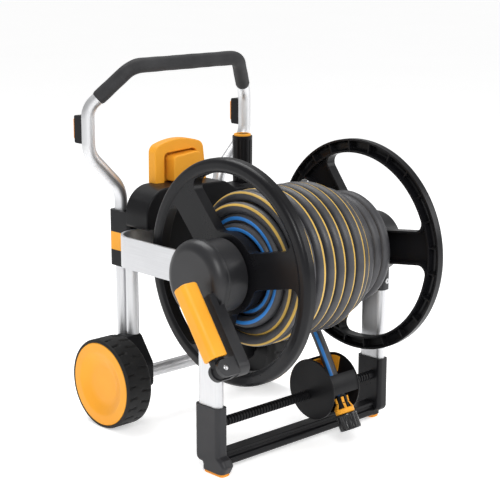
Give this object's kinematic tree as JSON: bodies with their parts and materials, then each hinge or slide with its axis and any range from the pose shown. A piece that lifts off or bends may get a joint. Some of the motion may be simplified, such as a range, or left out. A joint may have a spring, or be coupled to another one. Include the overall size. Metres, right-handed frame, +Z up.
{
  "type": "garden hose reel cart",
  "caption": "Wheeled cart with a spoked hose reel, folding crank, sliding hose guide, telescopic handle and wound striped hose.",
  "frame": {"origin": "on the floor under the middle of the whole cart", "axes": "+X to the right along the reel's axis, away from the crank; +Y to the handle and wheels; +Z up"},
  "size_m": [0.5594, 0.5942, 0.698],
  "materials": {
    "black_plastic": "fine moulded texture",
    "dark_grey_plastic": "fine moulded texture",
    "aluminium": "satin anodised",
    "orange_plastic": "smooth moulded, slight sheen",
    "orange_rubber": "soft rubber",
    "foam_grip": "closed-cell foam",
    "tyre": "moulded tread",
    "steel": "zinc plated",
    "seal_rubber": "smooth",
    "hose": "ribbed garden hose with coloured stripes"
  },
  "bodies": {
    "frame": {"hub_housing_left": "black_plastic", "hub_housing_right": "black_plastic", "hub_bushes": "black_plastic", "front_leg_left": "aluminium", "front_leg_right": "aluminium", "leg_screws": "steel", "leg_boot_left": "dark_grey_plastic", "leg_boot_right": "dark_grey_plastic", "foot_soles": "orange_rubber", "crossbar": "black_plastic", "guide_rod": "black_plastic", "side_arm_left": "aluminium", "side_arm_right": "aluminium", "upright_tubes": "aluminium", "lower_clamps": "black_plastic", "clamp_bands": "orange_plastic", "upper_clamps": "black_plastic", "axle_brackets": "black_plastic", "axle_tube": "steel", "wheel_axle": "steel", "axle_washers": "steel", "arch_grip": "orange_plastic", "rear_housing": "black_plastic", "rear_cover": "black_plastic"},
    "reel": {"reel_flange_left": "black_plastic", "reel_flange_right": "black_plastic", "reel_drum": "black_plastic", "drum_fitting": "black_plastic", "reel_shaft": "aluminium", "hose_coil": "hose", "crank_arm": "black_plastic", "grip_hinge_pin": "steel"},
    "knuckle": {"grip_knuckle": "black_plastic"},
    "grip": {"crank_grip": "orange_plastic", "grip_cap": "black_plastic"},
    "wheel_left": {"tyre_left": "tyre", "wheel_core_left": "black_plastic", "wheel_disc_left": "orange_plastic"},
    "wheel_right": {"tyre_right": "tyre", "wheel_core_right": "black_plastic", "wheel_disc_right": "orange_plastic"},
    "handle": {"handle_tube": "aluminium", "handle_foam": "foam_grip", "handle_bumpers": "black_plastic", "bumper_faces": "orange_rubber"},
    "button": {"release_button": "orange_plastic"},
    "pin_left": {"lock_pin_left": "steel"},
    "pin_right": {"lock_pin_right": "steel"},
    "guide": {"guide_barrel": "black_plastic", "guide_cover": "black_plastic", "guide_liner": "orange_plastic", "hose_run": "hose", "connector_nut": "black_plastic", "connector_ring": "orange_plastic", "connector_sleeve": "black_plastic"},
    "inlet": {"inlet_elbow": "black_plastic", "inlet_seal": "seal_rubber"},
    "nozzle": {"nozzle_body": "black_plastic"},
    "nozzle_tip": {"nozzle_ring": "orange_plastic"}
  },
  "joints": [
    {"name": "reel_spin", "type": "hinge", "parent": "frame", "child": "reel", "pos_m": [0.02575, -0.09715, 0.351], "axis": [1, 0, 0], "continuous": true},
    {"name": "crank_fold", "type": "hinge", "parent": "reel", "child": "knuckle", "pos_m": [-0.26225, -0.2112, 0.22821], "axis": [0, -0.8192, 0.5736], "range_deg": [0, 90]},
    {"name": "grip_spin", "type": "hinge", "parent": "knuckle", "child": "grip", "pos_m": [-0.26225, -0.2112, 0.22821], "axis": [0, 0.5736, 0.8192], "continuous": true},
    {"name": "wheel_left_spin", "type": "hinge", "parent": "frame", "child": "wheel_left", "pos_m": [-0.16425, 0.21055, 0.0866], "axis": [1, 0, 0], "continuous": true},
    {"name": "wheel_right_spin", "type": "hinge", "parent": "frame", "child": "wheel_right", "pos_m": [0.21575, 0.21055, 0.0866], "axis": [1, 0, 0], "continuous": true},
    {"name": "handle_slide", "type": "slide", "parent": "frame", "child": "handle", "axis": [0, 0, 1], "range_m": [0, 0.24]},
    {"name": "button_press", "type": "slide", "parent": "frame", "child": "button", "axis": [0, 1, 0], "range_m": [0, 0.008], "stiffness_N_per_m": 1200},
    {"name": "pin_left_slide", "type": "slide", "parent": "frame", "child": "pin_left", "axis": [1, 0, 0], "range_m": [0, 0.005]},
    {"name": "pin_right_slide", "type": "slide", "parent": "frame", "child": "pin_right", "axis": [-1, 0, 0], "range_m": [0, 0.005]},
    {"name": "guide_slide", "type": "slide", "parent": "frame", "child": "guide", "axis": [1, 0, 0], "range_m": [-0.165, 0.055], "deforming": ["hose_run"]},
    {"name": "inlet_swivel", "type": "hinge", "parent": "frame", "child": "inlet", "pos_m": [0.02575, -0.09715, 0.351], "axis": [1, 0, 0], "continuous": true},
    {"name": "nozzle_lift", "type": "slide", "parent": "frame", "child": "nozzle", "axis": [0, 0, 1], "range_m": [0, 0.06]},
    {"name": "nozzle_twist", "type": "hinge", "parent": "nozzle", "child": "nozzle_tip", "pos_m": [0.16275, 0.19285, 0.528], "axis": [0, 0, 1], "range_deg": [0, 180]}
  ],
  "couplings": [
    {"joint": "pin_left_slide", "follows": "button_press", "ratio": 0.625},
    {"joint": "pin_right_slide", "follows": "button_press", "ratio": 0.625}
  ]
}
